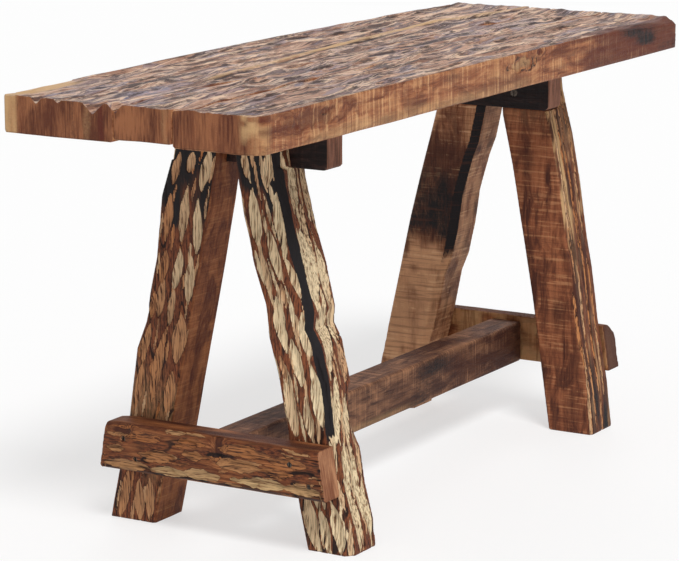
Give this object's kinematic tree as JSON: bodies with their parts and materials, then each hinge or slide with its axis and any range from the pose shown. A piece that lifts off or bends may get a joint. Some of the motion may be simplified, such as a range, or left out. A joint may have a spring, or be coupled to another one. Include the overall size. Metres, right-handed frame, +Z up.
{
  "type": "trestle bench",
  "caption": "Rustic log bench with a hewn plank top on A-shaped trestles, each with a crossbar, joined by a low stretcher.",
  "frame": {"origin": "on the floor under the middle of the bench", "axes": "+X along the top towards the right end, -Y the front, +Z up"},
  "size_m": [0.9, 0.29, 0.452],
  "materials": {
    "seat_planks": "hewn and waxed reclaimed hardwood, brown with grey-violet sheen",
    "trestle_legs": "gouged log surface, pale cuts through dark burnt brown",
    "crossbars": "bark side left rough, orange brown with pale cuts",
    "stretcher": "rough sawn, oiled dark brown",
    "battens": "rough sawn, dark brown",
    "hardwood_pegs": "plain turned hardwood",
    "screws": "dull darkened steel"
  },
  "bodies": {
    "root": {"batten_left": "battens", "batten_right": "battens", "crossbar_left": "crossbars", "crossbar_right": "crossbars", "crossbar_screws_left": "screws", "crossbar_screws_right": "screws", "lap_screws_left": "screws", "lap_screws_right": "screws", "leg_left_front": "trestle_legs", "leg_left_rear": "trestle_legs", "leg_right_front": "trestle_legs", "leg_right_rear": "trestle_legs", "plank_front": "seat_planks", "plank_middle": "seat_planks", "plank_rear": "seat_planks", "seam_dowels_front": "hardwood_pegs", "seam_dowels_rear": "hardwood_pegs", "seat_screws_left": "screws", "seat_screws_right": "screws", "stretcher": "stretcher", "stretcher_peg_left": "hardwood_pegs", "stretcher_peg_right": "hardwood_pegs"}
  },
  "joints": []
}
